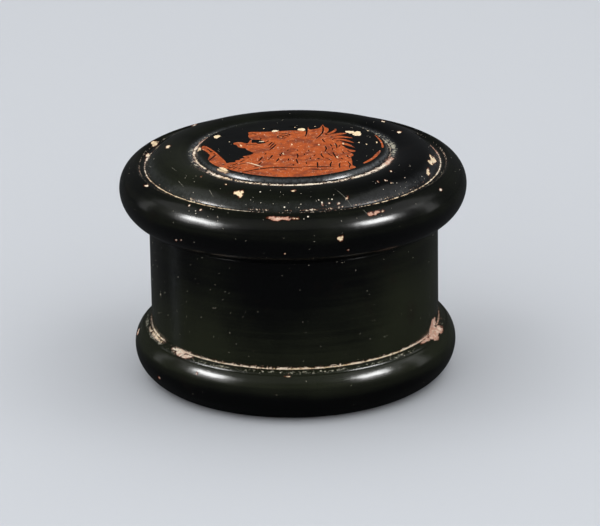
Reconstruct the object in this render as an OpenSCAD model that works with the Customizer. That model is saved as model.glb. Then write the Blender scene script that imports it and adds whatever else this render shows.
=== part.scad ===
// Round lidded box of the Greek pyxis kind, thrown on the wheel in two pieces of clay.
// The box has a straight wall, a bulging base moulding and an inset lip.
// The lid sits on the shoulder around that lip. Its edge is a deep rounded moulding,
// and its top steps up over a cushion-shaped band to a low disc that carries a picture.
// The origin is the centre of the resting face, with +Z up the wheel axis.

/* [Box] */
// Outer diameter of the straight wall
wall_d = 70; // [60:0.5:78]
// Thickness of the wall
wall_t = 4; // [3.2:0.1:6]
// Height of the shoulder that the lid rests on
shoulder_z = 39.7; // [26:0.1:70]
// Thickness of the floor
floor_t = 4.6; // [3:0.1:7]
// Radius of the curve between floor and wall, inside
floor_blend = 5; // [2:0.5:9]

/* [Base moulding] */
// How far the base moulding stands out past the wall
base_out = 4.2; // [3:0.1:6]
// Height of the widest line of the base moulding
base_z = 7.3; // [5:0.1:7.5]
// Radius of the moulding's curve above its widest line
base_top_r = 7; // [5.5:0.1:9]
// Radius of the moulding's curve below its widest line
base_low_r = 7.8; // [7.6:0.1:10]
// Width of the sloping step between the wall and the moulding
step_w = 2.3; // [1.4:0.1:2.6]
// Height that the step gains as it reaches the wall
step_rise = 0.8; // [0.4:0.1:1.5]
// Width of the two scraped lines beside the step
scrape_w = 0.5; // [0.3:0.05:0.6]

/* [Foot] */
// Width of the flat ring that the box stands on
foot_w = 3.2; // [2:0.1:6]
// Depth of the hollow inside that ring
foot_hollow = 1.6; // [0.8:0.1:2.5]

/* [Lip and seat] */
// Width of the shoulder outside the lip
seat_w = 2.1; // [1.5:0.1:2.2]
// Height of the lip above the shoulder
lip_h = 5; // [3:0.25:8]
// Clearance between the lip and the lid, all round
lip_gap = 0.3; // [0.1:0.05:0.6]
// Clearance above the lip
lip_top_gap = 0.5; // [0.3:0.1:1.5]

/* [Lid edge] */
// How far the lid's edge stands out past the wall
lid_out = 7; // [5:0.1:9]
// Radius of the edge's curve below its widest line
lid_low_r = 7.5; // [6.5:0.1:9]
// Radius of the edge's curve above its widest line
lid_top_r = 6.2; // [5.5:0.1:7.5]
// Thickness of the lid under the ring groove
lid_t = 4.5; // [3.5:0.1:6]

/* [Lid top] */
// Diameter of the inner side of the outer groove
groove_d = 70.8; // [66:0.1:73]
// Width of the outer groove
groove_w = 1.2; // [0.8:0.1:1.6]
// Depth of the outer groove below the lid's edge
groove_depth = 1; // [0.5:0.1:1.8]
// Radius of the band's cushion-shaped curve
cushion_r = 8; // [7:0.5:16]
// Height of the ring groove above the lid's edge
ring_rise = 1.8; // [0.8:0.1:3]
// Outer diameter of the ring groove around the disc
ring_d = 50.2; // [44:0.1:56]
// Width of the ring groove
ring_w = 1.9; // [1.2:0.1:3]
// Height of the picture disc above the ring groove
disc_rise = 1.1; // [0.6:0.1:2]

/* [Hidden] */
$fn = 128;
cut = 1;                                   // how far a cutting shape runs past a face
gloss = [0.06, 0.07, 0.06];

wall_r = wall_d / 2;
inside_r = wall_r - wall_t;
floor_z = foot_hollow + floor_t;

base_r = wall_r + base_out;
base_top_cx = base_r - base_top_r;
base_low_cx = base_r - base_low_r;
foot_r = base_low_cx + sqrt(base_low_r * base_low_r - base_z * base_z);
step_r = wall_r + step_w;
step_z = base_z + sqrt(pow(base_top_r, 2) - pow(step_r - base_top_cx, 2));

lip_r = wall_r - seat_w;
lip_t = lip_r - inside_r;
lip_z = shoulder_z + lip_h;

lid_r = wall_r + lid_out;
lid_wide_z = shoulder_z + lid_low_r;       // height of the lid's widest line
lid_edge_z = lid_wide_z + lid_top_r;       // top of the rounded edge
recess_r = lip_r + lip_gap;
recess_z = lip_z + lip_top_gap;
ring_z = lid_edge_z + ring_rise;
ceiling_z = ring_z - lid_t;
ceiling_blend = ceiling_z - recess_z;
groove_z = lid_edge_z - groove_depth;
groove_in_r = groove_d / 2;
groove_out_r = groove_in_r + groove_w;
ring_out_r = ring_d / 2;
disc_r = ring_out_r - ring_w;
disc_z = ring_z + disc_rise;

// The band's curve is the arc of radius cushion_r over its two edges
band = [groove_in_r - ring_out_r, groove_z - ring_z];
band_drop = sqrt(pow(cushion_r, 2) - pow(norm(band) / 2, 2));
cushion_cx = ring_out_r + band[0] / 2 + band_drop * band[1] / norm(band);
cushion_cz = ring_z + band[1] / 2 - band_drop * band[0] / norm(band);

// Part of a disc of radius r at (cx, cz), inside the rectangle from low to high
module disc_part(r, cx, cz, low, high) {
  intersection() {
    translate([cx, cz]) circle(r);
    translate(low) square(high - low);
  }
}

// Rounded moulding that reaches out to edge_r, with its widest line at wide_z
module moulding(edge_r, wide_z, top_r, low_r, from_r, top_z, bottom_z) {
  disc_part(top_r, edge_r - top_r, wide_z, [from_r, wide_z], [edge_r, top_z]);
  disc_part(low_r, edge_r - low_r, wide_z, [edge_r - low_r, bottom_z], [edge_r, wide_z]);
}

// Pocket that is as wide as r at its mouth and has its far corner rounded by blend
module pocket(r, mouth_z, end_z, blend) {
  inward = end_z > mouth_z ? 1 : -1;
  straight_z = end_z - inward * blend;
  translate([0, min(mouth_z, straight_z)]) square([r, abs(straight_z - mouth_z)]);
  translate([0, min(straight_z, end_z)]) square([r - blend, blend]);
  translate([r - blend, straight_z]) circle(blend);
}

module scraped_line(r, z) {
  translate([r, z]) circle(d = scrape_w);
}

module box_outline() {
  square([wall_r, shoulder_z]);
  square([lip_r, lip_z - lip_t / 2]);
  translate([lip_r - lip_t / 2, lip_z - lip_t / 2]) circle(d = lip_t);
  moulding(base_r, base_z, base_top_r, base_low_r, base_top_cx, step_z, 0);
  polygon([
    [0, base_z], [step_r, base_z], [step_r, step_z],
    [wall_r, step_z + step_rise], [0, step_z + step_rise]
  ]);
}

module box() {
  color(gloss) rotate_extrude() difference() {
    box_outline();
    pocket(inside_r, lip_z + cut, floor_z, floor_blend);
    translate([0, -cut]) square([foot_r - foot_w, foot_hollow + cut]);
    scraped_line(wall_r, step_z + step_rise);
    scraped_line(step_r, step_z);
  }
}

module lid_outline() {
  translate([0, shoulder_z]) square([groove_out_r, groove_z - shoulder_z]);
  moulding(lid_r, lid_wide_z, lid_top_r, lid_low_r, groove_out_r, lid_edge_z, shoulder_z);
  disc_part(cushion_r, cushion_cx, cushion_cz, [disc_r, groove_z], [groove_in_r, ring_z + cushion_r]);
  translate([0, groove_z]) square([ring_out_r, ring_z - groove_z]);
  translate([0, ring_z]) square([disc_r - disc_rise, disc_rise]);
  disc_part(disc_rise, disc_r - disc_rise, ring_z, [0, ring_z], [disc_r, disc_z]);
}

module lid() {
  color(gloss) rotate_extrude() difference() {
    lid_outline();
    pocket(recess_r, shoulder_z - cut, ceiling_z, ceiling_blend);
  }
}

box();
lid();
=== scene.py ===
import math

import bpy
import numpy as np
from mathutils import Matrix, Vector, noise
from mathutils.geometry import delaunay_2d_cdt


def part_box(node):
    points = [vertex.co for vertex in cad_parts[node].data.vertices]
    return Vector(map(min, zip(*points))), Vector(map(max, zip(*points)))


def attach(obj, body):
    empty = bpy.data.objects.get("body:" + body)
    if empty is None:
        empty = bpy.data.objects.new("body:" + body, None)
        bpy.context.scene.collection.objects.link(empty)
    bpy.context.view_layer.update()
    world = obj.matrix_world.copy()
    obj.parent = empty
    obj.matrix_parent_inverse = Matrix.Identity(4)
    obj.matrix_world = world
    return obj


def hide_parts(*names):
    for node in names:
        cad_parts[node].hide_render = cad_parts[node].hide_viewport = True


# A small round box of black-gloss clay with a loose lid, of the Greek pyxis kind.
# Shapes are worked out in millimetres, and a mesh is scaled to metres when it is made.
# Azimuths are in degrees round the wheel axis: 0 faces the camera, and 90 is on its right.

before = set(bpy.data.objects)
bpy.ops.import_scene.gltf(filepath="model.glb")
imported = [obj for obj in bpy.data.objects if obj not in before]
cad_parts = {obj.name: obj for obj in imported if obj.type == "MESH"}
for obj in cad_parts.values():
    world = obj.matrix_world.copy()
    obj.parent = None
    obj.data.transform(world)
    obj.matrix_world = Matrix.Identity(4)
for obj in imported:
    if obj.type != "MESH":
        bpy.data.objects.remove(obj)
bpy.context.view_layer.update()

MM = 0.001
box_low, box_high = (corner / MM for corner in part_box("box"))
lid_low, lid_high = (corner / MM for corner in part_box("lid"))

# Sizes that the frame gives
SKIN = 0.02  # the glossy skin stays this far inside the solids' box
BASE_R = box_high.x - SKIN  # widest line of the base moulding
LIP_Z = box_high.z  # top of the inset lip
LID_R = lid_high.x - SKIN  # widest line of the lid's edge
SEAT_Z = lid_low.z  # shoulder of the box and underside of the lid
TOP_Z = lid_high.z  # face of the picture disc

# Box
WALL_R = 35.0
INSIDE_R = 31.0
LIP_R = 32.9
LIP_TURN = 0.95  # radius of the lip's rounded top
FLOOR_Z = 6.2
FLOOR_BLEND = 5.0  # radius of the curve from the floor to the wall
FOOT_HOLLOW = 1.6
FOOT_IN_R = 31.0
FOOT_R = 34.2
BASE_Z = 7.3  # height of the base moulding's widest line
BASE_TOP_R = 6.4  # radius of its curve above that line
BASE_LOW_R = 7.8  # and below it
STEP_R = 37.03  # where that curve ends in a step
STEP_Z = 12.1
STEP_RISE = 0.8
WALL_FOOT_Z = STEP_Z + STEP_RISE
LINE_W = 0.5  # width of a scraped line

# Lid
LID_LOW_R = 7.5  # radius of the edge's curve below its widest line
LID_TOP_R = 6.2  # and above it
LID_WIDE_Z = SEAT_Z + LID_LOW_R
LID_EDGE_Z = LID_WIDE_Z + LID_TOP_R
GROOVE_Z = LID_EDGE_Z - 1.15
GROOVE_IN_R = 35.7
GROOVE_FLAT_R = 36.7  # outer end of its floor
GROOVE_OUT_R = 37.9  # where its side meets the lid's round edge
RING_Z = LID_EDGE_Z + 1.8
RING_OUT_R = 25.1
RING_IN_R = 23.2
BAND_CENTRE = (28.66, 48.05)  # centre of the cushion-shaped band's curve
BAND_R = 8.0
BEAD_R = 1.1  # width of the rounded edge round the picture disc
BEAD_TURN = 0.7  # its radius at the top
BEAD_SIDE = 3.0  # and on its side
BEAD_BREAK = 44.0  # degrees at which the one curve meets the other
BEAD_END = 24.0  # and at which its side ends
DISC_R = RING_IN_R - BEAD_R  # edge of the flat part of the picture disc
DISC_Z = TOP_Z - 0.06  # the raised lines on it stay under the solid's top
RECESS_R = 33.2
RECESS_Z = LIP_Z + 0.5
CEILING_Z = RING_Z - 4.5

UNEVEN = 0.05  # how far the skin is drawn in round the wheel
CHIP_DEPTH = 0.18  # of chips in the turned skins
RAISED = 0.035  # height of the picture's relief lines
SUNK = 0.12  # depth of the chips in it

SEGMENTS = 480  # round the wheel
# Spacing of the rings on a lathe mesh
FINE, MIDDLE, PLAIN, COARSE, INNER = 0.24, 0.45, 0.9, 1.1, 2.2

CAMERA_ELEVATION = math.radians(20.19)
CAMERA_DISTANCE = 1.0
CAMERA_LENS = 246.6
CAMERA_ROLL = math.radians(0.95)
CAMERA_LEVEL = 0.0271  # height on the axis that the camera circles
CAMERA_AIM = Vector((0.00138, 0.0, 0.02663))


def direction(azimuth, elevation=0.0):
    """Unit vector from the wheel axis towards an azimuth and elevation in degrees."""
    a, e = math.radians(azimuth), math.radians(elevation)
    return Vector((math.sin(a) * math.cos(e), -math.cos(a) * math.cos(e), math.sin(e)))


def add_object(name, data):
    made = bpy.data.objects.new(name, data)
    bpy.context.scene.collection.objects.link(made)
    return made


def make_camera():
    camera = add_object("camera", bpy.data.cameras.new("camera"))
    bpy.context.scene.camera = camera
    camera.data.sensor_width = 36.0
    camera.data.lens = CAMERA_LENS
    camera.data.clip_start, camera.data.clip_end = 0.05, 20.0
    back = direction(0.0, math.degrees(CAMERA_ELEVATION))
    camera.location = Vector((0.0, 0.0, CAMERA_LEVEL)) + back * CAMERA_DISTANCE
    look = (CAMERA_AIM - camera.location).to_track_quat("-Z", "Y").to_matrix().to_4x4()
    turn = look @ look.Rotation(-CAMERA_ROLL, 4, "Z")
    camera.rotation_euler = turn.to_euler()


class Graph:
    """A node tree with short names for the nodes that the materials use."""

    def __init__(self, tree):
        self.tree = tree
        tree.nodes.clear()

    def node(self, kind, inputs=None, **settings):
        """A new shader node with these settings, and inputs by name or number."""
        made = self.tree.nodes.new("ShaderNode" + kind)
        for key, value in settings.items():
            setattr(made, key, value)
        for key, value in (inputs or {}).items():
            self.put(made.inputs[key], value)
        return made

    def put(self, socket, value):
        if isinstance(value, bpy.types.NodeSocket):
            self.tree.links.new(value, socket)
        elif value is not None:
            socket.default_value = value

    def math(self, operation, *values, clamp=False):
        return self.node("Math", dict(enumerate(values)), operation=operation, use_clamp=clamp).outputs[0]

    def times(self, a, b):
        return self.math("MULTIPLY", a, b)

    def plus(self, a, b):
        return self.math("ADD", a, b)

    def largest(self, a, b):
        return self.math("MAXIMUM", a, b)

    def swing(self, value, amount):
        """A noise between 0 and 1, moved to swing round 0 by an amount."""
        return self.times(self.math("SUBTRACT", value, 0.5), amount)

    def vector(self, operation, *values, scale=None):
        inputs = dict(enumerate(values))
        if scale is not None:
            inputs["Scale"] = scale
        made = self.node("VectorMath", inputs, operation=operation)
        return made.outputs["Value" if operation in ("DOT_PRODUCT", "LENGTH") else "Vector"]

    def noise(self, at, scale, detail=2.0, roughness=0.5):
        inputs = {"Vector": at, "Scale": scale, "Detail": detail, "Roughness": roughness}
        return self.node("TexNoise", inputs).outputs["Fac"]

    def attribute(self, name):
        return self.node("Attribute", attribute_type="GEOMETRY", attribute_name=name).outputs["Fac"]

    def step(self, value, low, high):
        """0 below low and 1 above high, or the reverse where low is the larger."""
        inputs = {"Value": value, "From Min": min(low, high), "From Max": max(low, high)}
        inputs["To Min"], inputs["To Max"] = (1.0, 0.0) if low > high else (0.0, 1.0)
        return self.node("MapRange", inputs, interpolation_type="SMOOTHSTEP").outputs["Result"]

    def mix(self, factor, a, b, share=None):
        """Mixes two numbers or two colours, by no more than the share where one is given."""
        if share is not None:
            factor = self.times(factor, share)
        colour = not isinstance(a, (int, float)) and not (
            isinstance(a, bpy.types.NodeSocket) and a.type == "VALUE")
        a, b = ((*value, 1.0) if isinstance(value, tuple) else value for value in (a, b))
        if colour:
            return self.node("Mix", {0: factor, 6: a, 7: b}, data_type="RGBA").outputs[2]
        return self.node("Mix", {0: factor, 2: a, 3: b}, data_type="FLOAT").outputs[0]


# Colours, as linear light
GLOSS = (0.0009, 0.0011, 0.0011)
# Olive of thin slip, which on the base moulding's shoulder is partly a painted reflection
OLIVE_AND_REFLECTION = (0.0135, 0.0158, 0.0078)
GLOSS_BROWN = (0.0085, 0.0048, 0.0028)
CLAY = (0.45, 0.077, 0.004)
CLAY_DEEP = (0.21, 0.034, 0.006)
CLAY_PALE = (0.74, 0.31, 0.13)
CREAM = (0.86, 0.68, 0.43)
PALE = (0.86, 0.76, 0.61)
PINK = (0.56, 0.3, 0.21)
SPECK = (0.76, 0.7, 0.58)
DUST = (0.4, 0.38, 0.29)
# Grey of dulled, rubbed slip, also used for painted highlights, sheen and a painted reflection
FILM_AND_SHEEN = (0.125, 0.134, 0.142)
GLOSS_IOR = 1.45
CLAY_IOR = 1.33

# Roughness of the polished slip, and where it is rubbed, and of bare and of broken clay
ROUGH_GLOSS, ROUGH_RUBBED, ROUGH_CLAY, ROUGH_BROKEN = 0.125, 0.3, 0.55, 0.85

# Depths of the fine relief
WHEEL_LINES_DEPTH, SOFT_DEPTH, LOST_DEPTH = 0.012, 0.1, 0.05

WHEEL_DRIFT = 0.012  # how far the wheel lines stray from true rings
BROKEN_EDGE = 0.04  # half the soft edge of a chip's mask

# Two sizes of speck: cells in a millimetre, least radius in cells, and what the largest add to it
SPECKS = ((0.9, 0.07, 0.17), (1.7, 0.11, 0.15))


class Surface(Graph):
    """The layers of the fired clay. A noise takes a scale in cycles a millimetre, detail and roughness."""

    def __init__(self, name):
        self.material = bpy.data.materials.new(name)
        self.material.use_nodes = True
        super().__init__(self.material.node_tree)
        place = self.node("TexCoord").outputs["Object"]
        self.at = self.vector("SCALE", place, scale=1.0 / MM)
        self.wheel_at = self.make_wheel_coordinates()

    def make_wheel_coordinates(self):
        """Radius and height, so that a noise runs in lines round the axis, with a slight drift."""
        height = self.node("SeparateXYZ", {0: self.at}).outputs["Z"]
        flat = self.vector("MULTIPLY", self.at, (1.0, 1.0, 0.0))
        joined = self.node("CombineXYZ", {"X": self.vector("LENGTH", flat), "Y": height})
        return self.vector("ADD", joined.outputs[0], self.vector("SCALE", flat, scale=WHEEL_DRIFT))

    def gloss_layer(self):
        """Colour and roughness of the black slip, its olive tint and the dull grey where it is rubbed; in
        places both stand in for painted reflection, sheen and highlights.
        """
        # Olive tint where the slip is thin, partly a painted reflection on the base moulding's shoulder
        drift = self.swing(self.noise(self.at, 0.07, 3.0), 0.7)
        thin = self.plus(self.attribute("thin"), drift)
        streaks = self.noise(self.wheel_at, 0.9, 3.0, 0.6)
        thin = self.plus(thin, self.swing(streaks, 0.5))
        colour = self.mix(self.step(thin, 0.05, 1.0), GLOSS, OLIVE_AND_REFLECTION)
        brown = self.step(self.noise(self.at, 0.13, 4.0, 0.6), 0.58, 0.76)
        colour = self.mix(brown, colour, GLOSS_BROWN, 0.4)
        # Dulled grey where the slip is rubbed, which in places is painted highlight, sheen and reflection
        dull = self.step(self.noise(self.at, 1.1, 5.0, 0.75), 0.25, 0.7)
        rubbed_and_sheen = self.times(self.attribute("rub"), dull)
        colour = self.mix(rubbed_and_sheen, colour, FILM_AND_SHEEN)
        smudge = self.noise(self.at, 0.22, 4.0, 0.6)
        rough = self.plus(ROUGH_GLOSS, self.times(smudge, 0.08))
        rough = self.plus(rough, self.times(streaks, 0.05))
        return colour, self.mix(rubbed_and_sheen, rough, ROUGH_RUBBED)

    def clay_layer(self):
        """Colour and roughness of the smoothed, unpainted clay."""
        patches = self.noise(self.at, 0.3, 6.0, 0.75)
        colour = self.mix(self.step(patches, 0.38, 0.54), CLAY_DEEP, CLAY)
        grain = self.noise(self.at, 0.85, 6.0, 0.9)
        colour = self.mix(self.step(grain, 0.49, 0.38), colour, CLAY_DEEP, 0.75)
        colour = self.mix(self.step(grain, 0.55, 0.66), colour, CLAY_PALE, 0.85)
        streaks = self.noise(self.wheel_at, 1.6, 2.0)
        colour = self.mix(self.step(streaks, 0.5, 0.75), colour, CLAY_DEEP, 0.25)
        return colour, self.plus(ROUGH_CLAY, self.times(grain, 0.25))

    def broken_layer(self):
        """Colour of clay that a chip or worn line shows: 0 is cream, 0.6 pink and 1 dusty grey."""
        drift = self.swing(self.noise(self.at, 0.9, 3.0, 0.6), 0.8)
        tone = self.plus(self.attribute("tone"), drift)
        colour = self.mix(self.step(tone, 0.05, 0.25), CREAM, PALE)
        colour = self.mix(self.step(tone, 0.3, 0.6), colour, PINK)
        colour = self.mix(self.step(tone, 0.65, 0.9), colour, DUST)
        dirt = self.step(self.noise(self.at, 2.2, 3.0, 0.7), 0.54, 0.7)
        return self.mix(dirt, colour, CLAY_DEEP, 0.6)

    def chip_masks(self):
        """1 inside a chip, and 1 on its stained rim. The attribute is the distance to its edge."""
        ragged = self.swing(self.noise(self.at, 1.9, 5.0, 0.7), 1.0)
        edge = self.plus(self.attribute("chip"), ragged)
        return self.step(edge, BROKEN_EDGE, -BROKEN_EDGE), self.step(edge, 0.2, 0.08)

    def wear_masks(self):
        """1 where the slip has worn off the lines and edges, and 1 on the stained rim of that."""
        worn = self.attribute("wear")
        breaks = self.swing(self.noise(self.at, 0.9, 4.0, 0.8), 2.4)
        dots = self.swing(self.noise(self.at, 2.6, 2.0, 0.6), 1.8)
        level = self.plus(self.plus(worn, breaks), dots)
        near = self.step(worn, 0.06, 0.2)
        warm = self.times(near, self.step(self.attribute("tone"), 0.7, 0.45))
        bright = self.times(near, self.step(level, 0.5, 0.66))
        return bright, self.times(warm, self.step(level, 0.36, 0.5))

    def speck_mask(self):
        """1 on pin-point losses, which crowd and grow where the attribute is high."""
        grown = self.step(self.attribute("speck"), 0.04, 0.11)
        total = None
        for scale, least, more in SPECKS:
            cells = self.node("TexVoronoi", {"Vector": self.at, "Scale": scale}, feature="F1")
            split = self.node("SeparateColor", {0: cells.outputs["Color"]})
            kept = self.math("LESS_THAN", split.outputs[0], self.attribute("speck"))
            larger = self.times(self.math("POWER", split.outputs[1], 3.0), grown)
            size = self.plus(least, self.times(larger, more))
            inside = self.step(self.math("DIVIDE", cells.outputs["Distance"], size), 1.0, 0.7)
            spot = self.times(kept, inside)
            total = spot if total is None else self.largest(total, spot)
        return total

    def scratch_mask(self, scratches):
        """1 on fine scratches: each is where a thin slab within a ball meets the surface."""
        total = 0.0
        for *ends, half_width in scratches:
            start, end = (on_axis(*place) for place in ends)
            middle = (start + end) / 2
            across = (end - start).cross(Vector((middle.x, middle.y, 2 * middle.xy.length)))
            offset = self.vector("SUBTRACT", self.at, middle)
            aside = self.math("ABSOLUTE", self.vector("DOT_PRODUCT", offset, across.normalized()))
            near = self.math("LESS_THAN", self.vector("LENGTH", offset), (end - start).length / 2)
            line = self.times(near, self.step(aside, half_width, half_width * 0.4))
            total = self.math("ADD", total, line, clamp=True)
        gaps = self.step(self.noise(self.at, 1.3, 3.0), 0.36, 0.52)
        return self.times(total, gaps)

    def bump(self, height, distance, normal=None):
        inputs = {"Strength": 1.0, "Distance": distance * MM, "Height": height, "Normal": normal}
        return self.node("Bump", inputs).outputs["Normal"]

    def relief(self, lost):
        """Wheel lines, a slight hand-made unevenness and the step at the edge of what is lost."""
        normal = self.bump(self.noise(self.wheel_at, 1.6, 4.0, 0.6), WHEEL_LINES_DEPTH)
        normal = self.bump(self.noise(self.at, 0.16, 2.0), SOFT_DEPTH, normal)
        grit = self.noise(self.at, 5.0, 3.0, 0.7)
        normal = self.bump(self.times(grit, lost), LOST_DEPTH, normal)
        return self.bump(self.math("SUBTRACT", 1.0, lost), LOST_DEPTH, normal)

    def finish(self, colour, rough, normal, ior):
        inputs = {"Base Color": colour, "Roughness": rough, "Normal": normal, "IOR": ior}
        shader = self.node("BsdfPrincipled", inputs)
        self.node("OutputMaterial", {"Surface": shader.outputs[0]})
        return self.material


def on_axis(azimuth, radius, height):
    """A point in millimetres from its azimuth, radius and height."""
    return direction(azimuth) * radius + Vector((0.0, 0.0, height))


# Scratches: azimuth, radius and height of both ends, and half the width
SCRATCHES = (
    ((18.5, 30.8, 55.7), (25.6, 40.2, 51.8), 0.05),
    ((-55.0, 33.0, 54.7), (-50.5, 33.6, 54.3), 0.06),
    ((-37.5, 32.5, 55.0), (-34.5, 33.6, 54.3), 0.06),
    ((-68.0, 31.0, 55.6), (-63.0, 31.0, 55.6), 0.05),
)


def black_gloss():
    """The slip over clay that is left bare, chipped and worn in places."""
    s = Surface("black_gloss")
    gloss, gloss_rough = s.gloss_layer()
    clay, clay_rough = s.clay_layer()
    ragged = s.swing(s.noise(s.at, 0.9, 3.0), 0.5)
    bare = s.step(s.plus(s.attribute("bare"), ragged), -0.05, 0.05)
    chipped, chip_rim = s.chip_masks()
    worn, worn_rim = s.wear_masks()
    specks = s.speck_mask()
    lost = s.largest(s.largest(chipped, worn), specks)
    colour = s.mix(bare, gloss, clay)
    colour = s.mix(s.largest(chip_rim, worn_rim), colour, CLAY_DEEP, 0.55)
    colour = s.mix(lost, colour, s.broken_layer())
    colour = s.mix(specks, colour, SPECK, 0.7)
    scratched = s.scratch_mask(SCRATCHES)
    colour = s.mix(scratched, colour, DUST, 0.5)
    rough = s.mix(bare, gloss_rough, clay_rough)
    rough = s.mix(s.largest(lost, scratched), rough, ROUGH_BROKEN)
    return s.finish(colour, rough, s.relief(lost), GLOSS_IOR)


def figure_clay():
    """The clay of the painted figure, which the black slip was painted round."""
    s = Surface("figure_clay")
    colour, rough = s.clay_layer()
    stain = s.step(s.noise(s.at, 1.3, 4.0, 0.75), 0.6, 0.7)
    colour = s.mix(stain, colour, GLOSS_BROWN, 0.6)
    sparkle = s.step(s.noise(s.at, 1.6, 2.0, 0.6), 0.655, 0.7)
    colour = s.mix(sparkle, colour, PALE, 0.85)
    return s.finish(colour, rough, s.relief(0.0), CLAY_IOR)


def broken_clay():
    """The paler clay inside the chips on the picture disc."""
    s = Surface("broken_clay")
    return s.finish(s.broken_layer(), ROUGH_BROKEN, s.relief(s.noise(s.at, 2.0)), CLAY_IOR)


def arc(centre, radius, start, end):
    """Points of an arc in the radius and height plane; 0 degrees is outward and 90 is up."""
    turns = np.radians(np.linspace(start, end, max(3, int(abs(end - start)) + 1)))
    return np.stack([centre[0] + radius * np.cos(turns), centre[1] + radius * np.sin(turns)], 1)


def spaced(points, step):
    """The same polyline with its points about one step apart."""
    points = np.asarray(points, float)
    along = np.concatenate([[0.0], np.cumsum(np.linalg.norm(np.diff(points, axis=0), axis=1))])
    count = max(1, round(along[-1] / step))
    at = np.linspace(0.0, along[-1], count + 1)
    return np.stack([np.interp(at, along, points[:, k]) for k in (0, 1)], 1)


def joined(*sections):
    """One outline from (points, step) sections, each starting where the last one ends."""
    parts = []
    last = None
    for points, step in sections:
        if last is not None:
            points = np.vstack([[last], points])
        parts.append(spaced(points, step)[0 if last is None else 1:])
        last = parts[-1][-1]
    return np.vstack(parts)


def box_outline():
    """Radius and height of the box's skin, from under the floor, round the outside, to the floor inside."""
    base_top = (BASE_R - BASE_TOP_R, BASE_Z)
    base_low = (BASE_R - BASE_LOW_R, BASE_Z)
    foot_turn = math.degrees(math.asin(BASE_Z / BASE_LOW_R))
    step_turn = math.degrees(math.asin((STEP_Z - BASE_Z) / BASE_TOP_R))
    line = LINE_W / 2
    hollow = [(0.0, FOOT_HOLLOW - 0.3), (20.0, FOOT_HOLLOW), (FOOT_IN_R - 0.6, FOOT_HOLLOW)]
    foot_side = [(FOOT_IN_R, FOOT_HOLLOW - 0.5), (FOOT_IN_R + 0.3, 0.2), (FOOT_IN_R + 0.8, 0.0)]
    step = [(STEP_R + 0.05, STEP_Z - line), (STEP_R - 0.2, STEP_Z - line), (STEP_R - 0.35, STEP_Z + 0.08)]
    slope = [(STEP_R - 0.9, STEP_Z + 0.35), (WALL_R + line + 0.1, WALL_FOOT_Z - 0.06)]
    scraped = [(WALL_R + line - 0.1, WALL_FOOT_Z - 0.3), (WALL_R - 0.05, WALL_FOOT_Z - 0.1)]
    seat = [(WALL_R - 0.15, SEAT_Z), (LIP_R + 0.3, SEAT_Z), (LIP_R, SEAT_Z + 0.3)]
    return joined(
        (hollow, COARSE),
        (foot_side, MIDDLE),
        ([(FOOT_R - 0.3, 0.0)], MIDDLE),
        (arc(base_low, BASE_LOW_R, -foot_turn, 0.0), MIDDLE),
        (arc(base_top, BASE_TOP_R, 0.0, step_turn - 2.0), FINE),
        (step, FINE / 2),
        (slope, FINE),
        (scraped + [(WALL_R, WALL_FOOT_Z + line)], FINE / 2),
        ([(WALL_R, WALL_FOOT_Z + 3.0)], MIDDLE),
        ([(WALL_R, SEAT_Z - 0.25)], PLAIN),
        (seat, MIDDLE),
        ([(LIP_R, LIP_Z - 0.9)], MIDDLE),
        (arc(((LIP_R + INSIDE_R) / 2, LIP_Z - LIP_TURN), LIP_TURN, 0.0, 180.0), MIDDLE),
        ([(INSIDE_R, FLOOR_Z + FLOOR_BLEND)], INNER),
        (arc((INSIDE_R - FLOOR_BLEND, FLOOR_Z + FLOOR_BLEND), FLOOR_BLEND, 0.0, -90.0), COARSE),
        ([(0.0, FLOOR_Z + 0.25)], INNER),
    )


def lid_outline():
    """Radius and height of the lid's skin, from the picture disc's edge round to the ceiling's middle."""
    low = (LID_R - LID_LOW_R, LID_WIDE_Z)
    top = (LID_R - LID_TOP_R, LID_WIDE_Z)
    groove_turn = math.degrees(math.acos((GROOVE_OUT_R - top[0]) / LID_TOP_R))
    band_start = math.degrees(math.asin((RING_Z - BAND_CENTRE[1]) / BAND_R))
    band_end = math.degrees(math.asin((GROOVE_Z - BAND_CENTRE[1]) / BAND_R))
    blend = CEILING_Z - RECESS_Z
    turn = math.radians(BEAD_BREAK)
    bead_side = (DISC_R + (BEAD_TURN - BEAD_SIDE) * math.cos(turn),
                 DISC_Z - BEAD_TURN + (BEAD_TURN - BEAD_SIDE) * math.sin(turn))
    return joined(
        (arc((DISC_R, DISC_Z - BEAD_TURN), BEAD_TURN, 90.0, BEAD_BREAK), FINE / 3),
        (arc(bead_side, BEAD_SIDE, BEAD_BREAK, BEAD_END), FINE / 2),
        ([(RING_IN_R + 0.15, RING_Z - 0.05), (RING_OUT_R - 0.15, RING_Z - 0.05)], FINE),
        (arc(BAND_CENTRE, BAND_R - SKIN, 180.0 - band_start, band_end), FINE),
        ([(GROOVE_IN_R + 0.25, GROOVE_Z - 0.1), (GROOVE_FLAT_R, GROOVE_Z - 0.1)], FINE),
        ([(GROOVE_FLAT_R + 0.25, GROOVE_Z + 0.1), (GROOVE_OUT_R - 0.6, GROOVE_Z + 0.5)], FINE / 2),
        (arc(top, LID_TOP_R, groove_turn, 0.0), FINE),
        (arc(low, LID_LOW_R, 0.0, -90.0), MIDDLE),
        ([(RECESS_R + 0.3, SEAT_Z), (RECESS_R, SEAT_Z + 0.3)], MIDDLE),
        ([(RECESS_R, RECESS_Z)], COARSE),
        (arc((RECESS_R - blend, RECESS_Z), blend, 0.0, 90.0), COARSE),
        ([(0.0, CEILING_Z - 0.2)], COARSE),
    )


def outward(outline):
    """Unit normals of an outline that runs with the clay on its left."""
    along = np.gradient(outline, axis=0)
    normal = np.stack([along[:, 1], -along[:, 0]], 1)
    return normal / np.linalg.norm(normal, axis=1, keepdims=True)


AZIMUTHS = np.linspace(0.0, 360.0, SEGMENTS, endpoint=False)


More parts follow.
